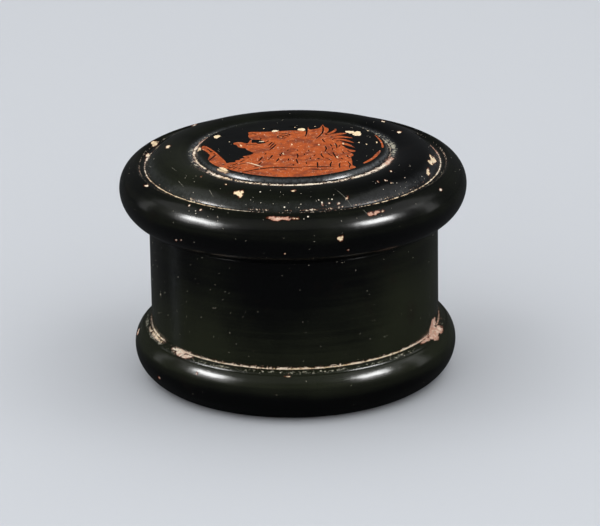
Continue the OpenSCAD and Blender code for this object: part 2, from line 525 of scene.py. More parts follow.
class Turned:
    """A lathe surface as arrays of points, normals and painted values, one row for each ring."""

    # The values and where they start: far from any chip, unworn, and slip all over
    PAINTED = {"chip": 2.0, "tone": 0.2, "wear": 0.0, "speck": 0.014, "bare": -2.0, "thin": 0.0, "rub": 0.0}

    def __init__(self, outline):
        self.outline = outline
        steps = np.linalg.norm(np.diff(outline, axis=0), axis=1)
        self.along = np.concatenate([[0.0], np.cumsum(steps)])
        a = np.radians(AZIMUTHS)[None, :]
        r, z = outline[:, :1], outline[:, 1:]
        self.points = np.stack([r * np.sin(a), -r * np.cos(a), z + 0 * a], 2)
        n = outward(outline)
        self.normals = np.stack([n[:, :1] * np.sin(a), -n[:, :1] * np.cos(a), n[:, 1:] + 0 * a], 2)
        for key, value in self.PAINTED.items():
            setattr(self, key, np.full(self.points.shape[:2], value))

    def uneven(self):
        """Draws the skin in a little, by an amount that drifts slowly round the wheel."""
        a = np.radians(AZIMUTHS)
        drift = (2 + np.cos(2 * a + 0.7) + np.cos(3 * a + 2.1)) / 4
        radial = np.stack([np.sin(a), -np.cos(a), 0 * a], 1)
        self.points -= (UNEVEN * drift)[None, :, None] * radial[None]

    def row_at(self, radius, height):
        return int(np.argmin(np.hypot(self.outline[:, 0] - radius, self.outline[:, 1] - height)))

    def reach(self, azimuth, radius, height):
        """Distances round and along the surface from one point on it, in millimetres."""
        row = self.row_at(radius, height)
        u = np.radians(turn_from(azimuth))[None, :] * self.outline[row, 0]
        return u + 0 * self.chip, (self.along - self.along[row])[:, None] + 0 * self.chip

    def cut_chip(self, seed, azimuth, radius, height, half_round, half_along, tone, turn=0.0):
        """A shallow chip with a lobed edge."""
        u, v = self.reach(azimuth, radius, height)
        c, s = math.cos(math.radians(turn)), math.sin(math.radians(turn))
        u, v = (c * u + s * v) / half_round, (c * v - s * u) / half_along
        angle = np.arctan2(v, u)
        lobes = 1.0 + 0.22 * np.sin(2 * angle + seed) + 0.15 * np.sin(3 * angle + 2.3 * seed)
        lobes += 0.1 * np.sin(5 * angle + 4.1 * seed)
        distance = (np.hypot(u, v) - lobes) * min(half_round, half_along)
        self.tone[distance < 0.5] = tone
        self.chip = np.minimum(self.chip, distance)
        t = np.clip((0.1 - distance) / 0.3, 0.0, 1.0)
        self.points -= (t * t * (3 - 2 * t) * CHIP_DEPTH)[..., None] * self.normals

    def across(self, radius, height, width):
        """1 on the ring nearest to a radius and height, fading over the width on both sides."""
        row = self.row_at(radius, height)
        return np.exp(-(((self.along - self.along[row]) / width) ** 2))

    def wear_line(self, radius, height, width, tone, strengths, seed):
        """Wears one ring of the surface, patchily."""
        row = self.across(radius, height, width)
        patchy = np.array([noise.noise(direction(a) * 4.0 + Vector((seed, 0, 0))) for a in AZIMUTHS])
        worn = row[:, None] * (round_about(strengths) + 0.35 * patchy)[None, :]
        shade = np.broadcast_to(round_about(tone)[None, :], worn.shape)
        stronger = (worn > self.wear) & (row[:, None] > 0.05)
        self.tone[stronger] = shade[stronger]
        self.wear = np.maximum(self.wear, worn)

    def rub_and_sheen_line(self, radius, height, width, strengths):
        """Dulls the slip along one ring of the surface, in a grey that on some rings is painted sheen and
        highlight.
        """
        rubbed_film_and_sheen = self.across(radius, height, width)[:, None] * round_about(strengths)[None, :]
        self.rub = np.maximum(self.rub, rubbed_film_and_sheen)

    def crowd_specks(self, azimuth, radius, height, spread, density):
        u, v = self.reach(azimuth, radius, height)
        self.speck += density * np.exp(-((np.hypot(u, v) / spread) ** 2))


def turn_from(azimuth):
    """How far every azimuth lies from one, in degrees from -180 to 180."""
    return (AZIMUTHS - azimuth + 180.0) % 360.0 - 180.0


def round_about(values):
    """Values at every azimuth, from one number or from the values at some azimuths."""
    if not isinstance(values, dict):
        return np.full(SEGMENTS, float(values))
    return np.interp(AZIMUTHS, list(values), list(values.values()), period=360.0)


def turned_mesh(name, turned, materials, closing=None):
    """A closed mesh of a lathe surface whose ends are on the axis, or whose last ring is closed over."""
    rows = len(turned.outline)
    kept = slice(1, rows if closing else rows - 1)
    points = turned.points[kept].reshape(-1, 3)
    values = {key: getattr(turned, key)[kept].ravel() for key in Turned.PAINTED}
    last_ring = len(points) - SEGMENTS
    faces = ring_faces(len(points) // SEGMENTS)
    poles = [(0, 0, -1)] if closing else [(0, 0, -1), (last_ring, rows - 1, 1)]
    for ring, row, order in poles:
        middle = len(points)
        points = np.vstack([points, turned.points[row, 0]])
        for key in values:
            values[key] = np.append(values[key], getattr(turned, key)[row, 0])
        fan = [(ring + i, ring + (i + 1) % SEGMENTS, middle) for i in range(SEGMENTS)]
        faces += [face[::order] for face in fan]
    slots = [0] * len(faces)
    if closing:
        points, values, faces, slots = closing(points, values, faces, slots, last_ring)
    mesh = bpy.data.meshes.new(name)
    mesh.from_pydata((points * MM).tolist(), [], faces)
    for material in materials:
        mesh.materials.append(material)
    mesh.polygons.foreach_set("material_index", slots)
    mesh.polygons.foreach_set("use_smooth", [True] * len(faces))
    for key, value in values.items():
        layer = mesh.attributes.new(key, "FLOAT", "POINT")
        layer.data.foreach_set("value", np.asarray(value, np.float32))
    mesh.validate()
    mesh.update()
    return add_object(name, mesh)


def ring_faces(rings):
    """Quads between neighbouring rings."""
    faces = []
    for row in range(rings - 1):
        here, above = row * SEGMENTS, (row + 1) * SEGMENTS
        for i in range(SEGMENTS):
            j = (i + 1) % SEGMENTS
            faces.append((here + i, here + j, above + j, above + i))
    return faces


# The picture: an animal's head and neck in profile, cut off by the disc's edge.
# Its tables are in tenths of a millimetre on the disc, x to the camera's right and y away from it.
TENTHS = 10
PICTURE_R = 21.5  # the picture's round edge, in millimetres
CUT_BY_EDGE = (44.0, -47.0)  # azimuths between which it cuts the neck off
BODY_HEAD = [
    (-105, 124), (-80, 125), (-50, 126), (-25, 130), (0, 132), (18, 129), (32, 124), (36, 136), (39.5, 154),
    (42.5, 138), (52, 138), (64, 144), (70, 156), (75, 173), (78, 162), (82, 152), (87.5, 146), (89, 132),
    (86, 114), (80, 102),
]
MANE = [
    (92, 113), (101, 128), (107, 141), (108, 128), (103, 113), (90, 96), (104, 103), (118, 107), (134, 105),
    (122, 96), (110, 89), (98, 80), (114, 86), (129, 80), (147, 66), (132, 69), (119, 71), (107, 67),
    (122, 61), (134, 52), (149, 30), (135, 40), (124, 48), (114, 49), (127, 32), (138, 19), (150, -7),
    (138, 4), (128, 14), (118, 18), (125, 2), (133, -14), (151, -30), (147, -39), (137, -37), (143, -50),
    (146, -64), (140, -76), (141, -92), (142, -110), (142, -134), (149, -149),
]
PAW = [
    (-173, -136), (-187, -117), (-197, -96), (-202, -77), (-200, -59), (-198, -44), (-204, -27),
    (-211, -11), (-219, 1), (-217, 23), (-209, 23), (-200, 9), (-191, -9), (-183, -27), (-177, -44),
    (-170, -65), (-162, -87), (-157, -106),
]
CHEST_AND_JAW = [
    (-148, -102), (-137, -100), (-136, -89), (-126, -84), (-124, -75), (-114, -69), (-119, -59),
    (-107, -52), (-95, -41), (-94, -32), (-101, -22), (-109, -10), (-114, 3), (-124, 6), (-131, 14),
    (-134, 26), (-142, 34), (-141, 44), (-132, 49), (-122, 47), (-115, 41), (-108, 39), (-105, 50),
    (-102, 64), (-98, 63), (-99, 50), (-97, 42), (-88, 42), (-83, 34), (-76, 35), (-66, 39), (-66, 46),
    (-71, 56), (-78, 65), (-88, 67), (-99, 70), (-104, 79), (-106.5, 92), (-105.5, 108),
]
TAIL_UPPER = [
    (200.5, 89.3), (209.9, 64.2), (216.2, 38.1), (219, 15.3), (219.4, -7.7), (215, -7.5), (214.6, 15),
    (212, 37.5), (206.3, 63.1),
]
TAIL_LOWER = [
    (212, -33), (208, -56), (199, -82), (187, -106), (172, -125), (168, -121), (180, -101), (191, -80),
    (200, -54), (208, -34),
]


def from_tenths(points):
    return [(x / TENTHS, y / TENTHS) for x, y in points]


def edge_arc(start, end):
    """Points on the picture's round edge between two azimuths."""
    return [tuple((direction(a) * PICTURE_R)[:2]) for a in np.linspace(start, end, 24)]


def smooth_loop(points, parts=4):
    """A closed curve through the points."""
    p = np.asarray(points, float)
    before, after, beyond = np.roll(p, 1, 0), np.roll(p, -1, 0), np.roll(p, -2, 0)
    rows = []
    for t in np.arange(parts) / parts:
        a = 2 * p + (after - before) * t
        b = (2 * before - 5 * p + 4 * after - beyond) * t * t
        c = (3 * p - before - 3 * after + beyond) * t ** 3
        rows.append((a + b + c) / 2)
    return np.stack(rows, 1).reshape(-1, 2)


# Relief lines, each as its width and its points
STROKES = [
    (4.4, (37.5, 152), (36, 130), (35, 108), (32, 85)),
    (4.4, (74.5, 166), (76, 144), (75.5, 124), (73, 106), (66, 86), (58, 67)),
    (4.9, (80, 102), (85, 94), (90, 96)), (4.9, (98, 80), (92, 74)), (3.4, (107, 67), (100, 62), (97, 53)),
    (4.9, (114, 49), (106, 43)), (3.4, (118, 18), (113, 10), (112, 0)),
    (4.9, (-37, 82), (-32, 93), (-23, 99), (-14, 95), (-9, 86)),
    (4.2, (-37, 82), (-29, 75), (-21, 74), (-14, 79)), (6.5, (-24.5, 89), (-21, 85), (-23.5, 81)),
    (4.6, (-33, 106), (-20, 111), (-8, 105), (-5, 94)), (4.9, (-102, 110), (-93, 111), (-88, 105)),
    (3.1, (-78, 66), (-75, 75), (-80, 82)), (3.4, (-66, 44), (-60, 49), (-57, 59)),
    (3.9, (-48, 47), (-53, 33), (-58, 20)), (3.9, (-43, 40), (-49, 22), (-55, 4)),
    (4.2, (-39, 28), (-46, 7), (-54, -14)), (4.6, (-112, 30), (-98, 27), (-85, 30)),
    (3.9, (-10, -13), (-12, -24)), (3.1, (12, -14), (13, -24)), (3.4, (-25, -33), (-27, -46)),
    (4.4, (-30, -46), (-28, -60)), (3.6, (11, -44), (13, -60), (12, -77)), (4.4, (-48, -52), (-53, -74)),
    (3.1, (-54, -76), (-58, -88)), (4.7, (-72, -64), (-76, -80), (-81, -94)),
    (4.2, (-32, -76), (-39, -102)), (3.6, (-9, -80), (-10, -93)), (3.6, (-74, -103), (-81, -122)),
    (4.4, (9, -85), (12, -116)), (3.6, (3, -123), (1, -134)), (3.9, (72, 63), (76, 49), (79, 37)),
    (3.9, (79, 9), (82, -9), (79, -29)), (3.6, (92, 24), (95, 4)), (3.4, (96, -8), (97, -21)),
    (3.6, (104, 29), (107, 10), (107, -9)), (4.2, (97, -38), (100, -58), (104, -78)),
    (3.4, (84, -43), (89, -56), (96, -69)), (3.6, (69, -45), (70, -62), (75, -79)),
    (8, (59, -81), (65, -85)), (3.6, (42, -75), (43, -87)), (2.9, (55, -53), (51, -65)),
    (3.1, (29, -46), (29, -56)), (2.9, (-63, -36), (-66, -48)), (2.9, (39, -16), (40, -28)),
    (3.6, (132, -26), (138, -39)), (3.4, (130, -60), (132, -74), (137, -81)), (3.1, (120, -34), (124, -49)),
    (2.9, (116, -80), (120, -94)), (3.1, (78, -81), (88, -91), (93, -102)),
    (3.9, (59, -110), (59.5, -130), (59, -152)), (3.9, (93, -109), (90, -128), (90, -148)),
    (3.6, (113, -118), (111, -134), (112, -154)), (3.6, (132, -108), (137, -132), (134, -156)),
    (3.1, (32, -108), (34, -124)),
    (6.5, (-121, -176), (-102, -165), (-80, -153), (-54, -146), (-28, -144), (2, -148), (22, -151)),
    (4.9, (32, -142), (64, -144), (98, -147)), (4.2, (46, -163), (70, -164), (96, -162)),
    (4.4, (-184, -42), (-189, -58), (-196, -74), (-200, -88)), (5.5, (-165, -113), (-165, -119)),
    (3.4, (-196, -12), (-191, -24)), (4, (-206, 4), (-199, -10), (-195, -26)),
    (3.4, (-189, -30), (-186, -40)), (3.4, (-156, -130), (-146, -144)),
    (4.9, (-149, -126), (-139, -118), (-132, -109)), (3.1, (-127, -104), (-120, -92), (-112, -83)),
    (3.4, (-142, -152), (-137, -142), (-130, -133)), (3.1, (-130, -156), (-122, -143)),
    (4, (-154, -146), (-143, -136), (-136, -126)), (3.6, (-134, -124), (-122, -114), (-110, -109)),
    (3.1, (-109, -62), (-103, -69)), (2.9, (-92, -130), (-84, -139)),
]

# Chips on the disc: x and y, half sizes, and turn in degrees where there is one
DISC_CHIPS = [
    (-183, 94, 7.5, 11.5), (-42, 130, 7.5, 7.5, 10), (23.5, 138, 8, 11.5), (141, 112, 9.5, 11, 20),
    (158, 99, 11.5, 15, -15), (-214, -2, 1.2, 3), (-164, -150, 6, 16, 38), (-74, 51, 5.5, 3, -10),
    (161, 32, 2, 3.5), (179, 17, 1.6, 4), (185, 121, 3, 3.5), (204, 30, 2.2, 5), (7, 156, 1.2, 3),
    (56, 161, 1.5, 2.5), (-69, 150, 1.5, 2.5), (64, 20, 2, 4.5), (-1, 25, 2, 5), (-90, -120, 2.2, 22, 47),
    (-22, -44, 2, 5, 20), (107, -76, 1.8, 7, 14), (-124, 23, 2, 9, 14), (-152, 53, 1.2, 3),
    (123, 24, 2.5, 4),
]


def lobed_loop(seed, centre, half, turn=0.0, scale=1.0, count=26):
    """A closed ragged outline, as a chip's edge."""
    angle = np.linspace(0.0, 2 * math.pi, count, endpoint=False)
    reach = 1 + 0.16 * np.sin(2 * angle + seed) + 0.12 * np.sin(3 * angle + 2.3 * seed)
    reach += 0.08 * np.sin(7 * angle + 1.7 * seed)
    u, v = half[0] * reach * np.cos(angle) * scale, half[1] * reach * np.sin(angle) * scale
    c, s = math.cos(math.radians(turn)), math.sin(math.radians(turn))
    return np.stack([centre[0] + c * u - s * v, centre[1] + s * u + c * v], 1)


def stroke_shape(width, points):
    """Outline and centre line of one brush line that thins out at its ends."""
    line = spaced(points, 0.45)
    along = np.gradient(line, axis=0)
    side = np.stack([-along[:, 1], along[:, 0]], 1)
    side /= np.linalg.norm(side, axis=1, keepdims=True)
    t = np.linspace(0.0, 1.0, len(line))[:, None]
    half = width / 2 * (0.3 + 0.7 * np.sin(math.pi * (0.12 + 0.8 * t)))
    return np.vstack([line + side * half, (line - side * half)[::-1]]), line[1:-1]


def inside(loop, x, y):
    """Which of the points (x, y) lie in a closed loop."""
    found = np.zeros(len(x), bool)
    a, b = np.asarray(loop), np.roll(np.asarray(loop), -1, 0)
    for (ax, ay), (bx, by) in zip(a, b):
        crosses = (ay > y) != (by > y)
        if ay != by:
            found ^= crosses & (x < (bx - ax) * (y - ay) / (by - ay) + ax)
    return found


# Places of these materials in the lid's list
CLAY_SLOT, BROKEN_SLOT = 1, 2

GRID = 1.5  # spacing of the points that fill the disc
GRID_MARGIN = 0.8  # and how far they stay from its edge
MERGE = 1e-5  # points nearer than this become one
CHIP_FLOOR = 0.7  # size of a chip's floor within its outline

# The painted values on the disc
DISC_PAINT = {**Turned.PAINTED, "tone": 0.05, "speck": 0.06, "thin": 0.1}


def picture_disc(points, values, faces, slots, last_ring):
    """Fills the lid's last ring with the painted disc, cut along the figure, lines and chips."""
    plane, edges, height = [], [], {}

    def add_line(line, closed, z=0.0):
        start, count = len(plane), len(line)
        plane.extend(Vector(p) for p in line)
        edges.extend((start + i, start + (i + 1) % count) for i in range(count if closed else count - 1))
        if z:
            height.update({start + i: z for i in range(count)})

    add_line(points[last_ring:last_ring + SEGMENTS, :2], True)
    figure = figure_loops()
    for loop in figure:
        add_line(loop, True)
    strokes = []
    for width, *line in STROKES:
        loop, middle = stroke_shape(width / TENTHS, from_tenths(line))
        strokes.append(loop)
        add_line(loop, True)
        if len(middle):
            add_line(middle, False, RAISED)
    chips = []
    for seed, (x, y, half_x, half_y, *turn) in enumerate(DISC_CHIPS):
        centre, half = from_tenths(((x, y), (half_x, half_y)))
        chips.append(lobed_loop(seed, centre, half, *turn))
        add_line(chips[-1], True)
        add_line(lobed_loop(seed, centre, half, *turn, scale=CHIP_FLOOR), True, -SUNK)
    plane.extend(grid_points())
    flat, _, triangles, origin, _, _ = delaunay_2d_cdt(plane, edges, [], 0, MERGE)
    place, added = {}, []
    for i, (p, sources) in enumerate(zip(flat, origin)):
        on_edge = [k for k in sources if k < SEGMENTS]
        if on_edge:
            place[i] = last_ring + on_edge[0]
            continue
        place[i] = len(points) + len(added)
        offsets = [height[k] for k in sources if k in height]
        added.append((p.x, p.y, DISC_Z + min(offsets, default=0.0)))
    kind = kinds_of(flat, triangles, figure, strokes, chips)
    points = np.vstack([points, added])
    values = {k: np.append(v, np.full(len(added), DISC_PAINT[k])) for k, v in values.items()}
    faces = faces + [tuple(place[k] for k in t) for t in triangles]
    return points, values, faces, slots + kind.tolist()


def figure_loops():
    """Outlines of what is left in clay colour: head and neck, and the two parts of a thin curve."""
    head = from_tenths(BODY_HEAD + MANE)
    chest = from_tenths(PAW + CHEST_AND_JAW)
    body = smooth_loop(head + edge_arc(*CUT_BY_EDGE) + chest)
    return [body, smooth_loop(from_tenths(TAIL_UPPER)), smooth_loop(from_tenths(TAIL_LOWER))]


def grid_points():
    """Points that fill the disc's plain parts."""
    steps = np.arange(-DISC_R, DISC_R, GRID)
    return [Vector((x, y)) for x in steps for y in steps if math.hypot(x, y) < DISC_R - GRID_MARGIN]


def kinds_of(flat, triangles, figure, strokes, chips):
    """The material's place for every triangle of the disc, by the last loop that holds its middle."""
    x, y = np.array([[sum(flat[k][c] for k in t) / 3 for c in (0, 1)] for t in triangles]).T
    kind = np.zeros(len(triangles), int)
    for loops, slot in ((figure, CLAY_SLOT), (strokes, 0), (chips, BROKEN_SLOT)):
        for loop in loops:
            kind[inside(loop, x, y)] = slot
    return kind


# Worn lines: radius, height and width, then tone, strength, and an offset that varies the breaks.
# Tone and strength are one number all round, or values at some azimuths.
BOX_WORN = (
    (WALL_R + 0.12, WALL_FOOT_Z - 0.12, 0.46, {
        -180: 0.5, -95: 0.5, -80: 0.15, -50: 0.25, -35: 0.15, -20: 0.25, 0: 0.12, 20: 0.2, 45: 0.15,
        60: 0.45}, {
        -180: 0.4, -95: 0.5, -80: 0.65, -70: 1, -65: 0.9, -62: 0.1, -58: 0.3, -52: 1, -30: 0.95,
        40: 0.95, 60: 0.9, 66: 0.7, 90: 0.7, 120: 0.4}, 1),
    (WALL_R + 1.15, STEP_Z + 0.4, 0.55, 0.9, {
        -180: 0.1, -100: 0.3, -85: 0.45, -66: 0.5, -62: 0.1, -45: 0.45, -10: 0.38, 25: 0.45, 45: 0.4,
        60: 0.1, 120: 0.1}, 5),
    (WALL_R + 0.8, STEP_Z + 0.5, 0.5, 0.1, {
        -180: 0, -88: 0.1, -78: 0.5, -70: 0.95, -65: 0.8, -62: 0, 0: 0}, 6),
    (FOOT_R - 0.6, 0, 0.8, 0.5, 0.5, 9),
    (LIP_R - 0.9, LIP_Z, 0.7, 0.4, 0.5, 13),
)

# Chips: azimuth, radius, height, half sizes round and along, tone, and turn in degrees where there is one
BOX_CHIPS = (
    (68.5, 35.9, 12.6, 2.6, 1.5, 0.55, 15), (72.5, 35, 13.9, 2.2, 1.7, 0.55),
    (61.5, 35.7, 12.6, 1.8, 0.5, 0.5), (74, 36.6, 12.3, 2, 0.7, 0.5), (73, 35.5, 12.9, 2.8, 1, 0.5),
    (-50.5, 35.7, 12.5, 1.6, 0.75, 0.42), (-46.5, 36, 12.5, 1.3, 0.5, 0.4, 10),
    (-54.3, 35.4, 12.8, 0.9, 0.6, 0.3), (-58, 39, 5.4, 0.35, 0.3, 0.5), (-87.5, 38.6, 10.1, 0.9, 0.7, 0.5),
    (-3, 37.2, 12.1, 0.5, 0.22, 0.1), (-38, 38.5, 10.2, 0.25, 0.2, 0.3), (140, 36, 12.5, 1.6, 0.7, 0.5),
    (-150, 39.2, 8, 0.9, 0.6, 0.4), (178, 35, 30, 0.5, 0.6, 0.3), (120, 36.9, 2, 0.8, 0.5, 0.4),
)

# How thin the slip is on the wall, by azimuth
WALL_THIN = {
    -180: 0.2, -80: 0.35, -62: 0.22, -46: 0.24, -33: 0.24, -16: 0.08, 8: 0.04, 30: 0.2, 46: 0.48, 60: 0.58,
    75: 0.75, 110: 0.4}
WALL_FADE_Z = 34.0  # below this height it is thinner still
WALL_FADE = 0.52  # and by this much at its foot
BASE_OLIVE_AND_REFLECTION = 0.72  # olive tint on the base moulding's shoulder, partly a painted reflection that lightens its upper part
BASE_REFLECTION_Z = (6.0, 10.0)  # heights where that begins, and where it is in full
SHADED = 0.2  # share of the wall's thinness that the rest of the box has
# Painted reflection of a pale panel to the left, as a pale streak down the wall
PAINTED_REFLECTION_AZIMUTH, PAINTED_REFLECTION_WIDTH, PAINTED_REFLECTION_STRENGTH = -55.0, 3.6, 0.11  # a pale streak down the wall
WALL_SPECK = 0.05
SEAT_MARGIN = 0.9  # the seat is bare up to this far inside the wall's radius

# Black rings and dot on the bare underside: radius and half width
RING_LARGE, RING_SMALL, DOT_R = (25.5, 1.5), (12.0, 1.0), 2.6


# Crowds of specks: azimuth, radius, height, spread and density
BOX_CROWD = (-70, 35, 26, 7, 0.08)


def ramp(z, start, end):
    """0 at one height, 1 at another, and even between them."""
    return np.clip((z - start) / (end - start), 0.0, 1.0)


def paint_box(box):
    """Worn lines, chips and bare parts of the box, and its olive tint, which is partly a painted reflection
    on the base moulding's shoulder, with a painted reflection streaked down the wall.
    """
    r, z = box.outline.T
    under = (np.arange(len(r)) < np.argmax(r)) & (z < 2.0) & (r < FOOT_R - 0.15)
    rings = [half - np.abs(r - middle) for middle, half in (RING_LARGE, RING_SMALL)]
    black = np.maximum.reduce(rings + [DOT_R - r])
    seat = (np.abs(z - SEAT_Z) < 0.2) & (r > LIP_R) & (r < WALL_R - SEAT_MARGIN)
    bare = np.where(seat, 1.0, np.where(under, -black, -2.0))
    box.bare = np.repeat(bare[:, None], SEGMENTS, 1)
    for line in BOX_WORN:
        box.wear_line(*line)
    above = z > WALL_FOOT_Z
    low = np.where(above, WALL_FADE * ramp(z, WALL_FADE_Z, WALL_FOOT_Z) ** 1.1, 0.0)
    # Base moulding's shoulder: olive tint growing towards its top, partly a painted reflection
    base_olive_and_reflection = np.where(above, 0.0, BASE_OLIVE_AND_REFLECTION * ramp(z, *BASE_REFLECTION_Z))
    sides = np.where(above, 1.0, SHADED)[:, None] * round_about(WALL_THIN)
    box.thin = sides * (1.0 + low)[:, None] + (low + base_olive_and_reflection)[:, None]
    wall = above & (z < SEAT_Z)
    box.speck[wall] = WALL_SPECK
    # Painted reflection: a pale streak of dulled grey down the wall
    painted_reflection = np.exp(-((turn_from(PAINTED_REFLECTION_AZIMUTH) / PAINTED_REFLECTION_WIDTH) ** 2))
    box.rub = PAINTED_REFLECTION_STRENGTH * np.where(wall, 1.0, 0.0)[:, None] * painted_reflection
    for seed, chip in enumerate(BOX_CHIPS):
        box.cut_chip(seed, *chip)
    box.crowd_specks(*BOX_CROWD)


LID_WORN = (
    (RING_IN_R + 0.55, RING_Z, 0.34, {
        -180: 0.7, -110: 0.5, -90: 0.15, -60: 0.2, 60: 0.4, 90: 0.85}, {
        -180: 0.15, -140: 0.35, -112: 0.75, -92: 0.85, -66: 0.75, -54: 0.2, 0: 0, 50: 0, 70: 0.55,
        110: 0.7, 135: 0.5, 150: 0.2}, 3),
    (RING_OUT_R - 0.55, RING_Z, 0.75, {
        -180: 0.9, -100: 0.95, -66: 0.7, -58: 0.35, -40: 0.1, -18: 0.15, 0: 0.25, 30: 0.2, 60: 0.3, 74: 0.5,
        82: 0.9, 120: 0.95}, {
        -180: 0.1, -110: 0.27, -80: 0.33, -60: 0.52, -50: 0.78, -36: 0.7, -20: 0.8, 72: 0.8, 80: 0.6,
        115: 0.5, 140: 0.2}, 2),
    (GROOVE_IN_R - 0.05, GROOVE_Z + 0.15, 0.18, {
        -180: 0.8, -100: 0.5, -70: 0, -40: 0, 0: 0.3, 40: 0, 80: 0.2, 110: 0.6, 140: 0.7}, {
        -180: 0.35, -120: 0.5, -85: 0.7, -60: 0.95, -40: 1, -28: 0.85, -15: 0.6, 0: 0.45, 20: 0.55,
        45: 0.85, 80: 0.85, 110: 0.8, 125: 0.8, 150: 0.5}, 11),
    (GROOVE_IN_R - 0.25, GROOVE_Z + 0.55, 0.22, {
        -180: 0.9, -70: 0.1, -40: 0, 0: 0.1, 40: 0, 80: 0.9}, {
        -180: 0, -85: 0.15, -60: 0.25, -40: 0.25, -22: 0.3, 0: 0.34, 20: 0.34, 45: 0.3, 62: 0.25,
        85: 0.15, 120: 0}, 17),
    (GROOVE_FLAT_R + 0.35, GROOVE_Z + 0.2, 0.26, 0.75, {
        -180: 0, -120: 0.3, -100: 0.45, -80: 0.5, -62: 0.4, -40: 0.1, 40: 0.15, 65: 0.4, 90: 0.5,
        110: 0.4, 130: 0}, 7),
)

# Lines where the slip is dulled, partly as painted highlight and sheen: radius, height, width and strength
LID_RUBBED_AND_SHEEN = (
    # Rounded edge of the picture disc: rubbed, with a painted highlight where it is strongest
    (DISC_R + 0.9, TOP_Z - 0.5, 0.55, {
        -180: 0.1, -90: 0.4, -62: 0.4, -48: 0.9, -25: 0.9, -10: 0.5, 12: 0.5, 28: 0.9, 70: 1, 110: 0.5,
        150: 0.1}),
    (RING_OUT_R - 0.6, RING_Z, 0.7, {
        -180: 0.3, -90: 0.8, -45: 0.3, 45: 0.3, 90: 0.8, 150: 0.3}),
    # Cushion-shaped band: dulled, with a painted sheen strongest at the sides
    (GROOVE_IN_R - 1, GROOVE_Z + 0.8, 1.5, {
        -180: 0.1, -100: 0.4, -60: 0.15, 0: 0.1, 45: 0.15, 90: 0.4, 150: 0.1}),
)

LID_CHIPS = (
    (-24, 32.1, 55.2, 0.72, 0.8, 0), (-22.2, 32.7, 54.9, 0.42, 0.6, 0), (-22.2, 31.6, 55.4, 0.5, 0.5, 0),
    (0.2, 30.3, 55.9, 0.45, 0.3, 0.1), (-4.9, 39.4, 52.2, 1.7, 0.46, 0.62, 2),
    (-7.2, 39.3, 52.2, 0.8, 0.3, 0.6), (-2.6, 39.5, 52.1, 0.9, 0.38, 0.58, -8),
    (0.2, 39.4, 52.2, 0.3, 0.22, 0.1), (1.6, 39.4, 52.2, 0.22, 0.18, 0.1), (26.6, 40, 51.8, 0.7, 0.4, 0.55),
    (29, 40.1, 51.7, 0.9, 0.34, 0.62, 8), (31.6, 40, 51.9, 0.25, 0.22, 0.1),
    (15, 42, 47.5, 0.58, 0.72, 0, 15), (-3, 42, 43.6, 0.14, 0.14, 0.1), (17.7, 41.8, 43.8, 0.24, 0.24, 0.35),
    (-115, 37.1, 53.2, 1.4, 0.62, 0.05, 10), (-103.4, 36.3, 52.6, 1.1, 0.45, 0.15),
    (-98.6, 35.7, 52.5, 1.2, 0.3, 0.3), (-97, 30.3, 55.9, 0.9, 0.6, 0.1),
    (-65.1, 38.4, 52.8, 0.6, 0.35, 0.15, 30), (82.6, 34.2, 54, 2.5, 0.62, 0.12, -4),
    (78.8, 33.7, 54.2, 1.2, 0.55, 0.1), (84.5, 33.5, 54.2, 1.2, 0.4, 0.1),
    (69.9, 34.5, 53.6, 1.2, 0.52, 0.1, 12), (61, 40, 51.8, 0.4, 0.3, 0.3), (113.3, 28.3, 56, 0.55, 0.6, 0.1),
    (132.3, 30.2, 55.9, 0.6, 0.6, 0.1), (-39, 38.8, 52.6, 0.25, 0.25, 0.3),
    (-33.6, 39.2, 52.4, 0.25, 0.2, 0.3), (118, 35.8, 52.9, 1.2, 0.4, 0.1),
    (17.9, 34.6, 53.5, 0.24, 0.24, 0.15, 20), (14.3, 34.3, 53.7, 0.2, 0.22, 0.15),
    (11.4, 34.4, 53.6, 0.12, 0.16, 0.15), (43.8, 31.6, 55.4, 0.24, 0.26, 0.15),
    (39.8, 31.2, 55.5, 0.18, 0.22, 0.15), (45, 32.8, 54.9, 0.16, 0.18, 0.15),
    (52.5, 29.3, 56, 0.24, 0.3, 0.15), (22, 33.6, 54.2, 0.28, 0.2, 0.15, 40),
    (-31.9, 29.8, 55.9, 0.22, 0.22, 0.05), (-48, 29.2, 56, 0.2, 0.2, 0.05),
    (-46.8, 22.4, 56.1, 2.3, 0.62, 0), (-92, 22.5, 56.1, 1.5, 0.55, 0), (-42.2, 41.4, 44.3, 0.3, 0.25, 0.3),
    (-39.9, 41.5, 44.5, 0.16, 0.14, 0.3), (170, 40.5, 51, 1.2, 0.4, 0.5), (-160, 33, 54.7, 0.8, 0.7, 0.1),
    (150, 41.9, 47, 0.6, 0.6, 0.3), (-140, 37.2, 53.2, 1, 0.4, 0.4),
)

LID_CROWDS = (
    (-32, 39.3, 52.4, 3.2, 0.3), (15, 34.5, 53.5, 4, 0.16), (42, 31.5, 55.4, 4, 0.15),
    (-50, 29, 56, 5, 0.06), (170, 30, 56, 12, 0.06), (0, 35, 53.3, 9, 0.17),
    (-85, 37, 53, 6, 0.2), (85, 37, 53, 6, 0.15), (-20, 35.5, 53, 5, 0.16),
    (-42, 36.5, 53, 5, 0.12), (60, 34, 54, 6, 0.12),
)

# How thin the slip is on the cushion-shaped band, by azimuth
CUSHION_THIN = {
    -180: 0.2, -120: 0.45, -90: 0.55, -55: 0.6, -30: 0.4, 0: 0.38, 30: 0.3, 60: 0.05, 110: 0.05}
EDGE_THIN = 0.31  # and on the rest of the lid's top
EDGE_FADE_Z = (45.0, 48.0)  # heights where that begins, and where it is in full
FIRST_LID_SEED = 40  # so that its chips differ from those of the box


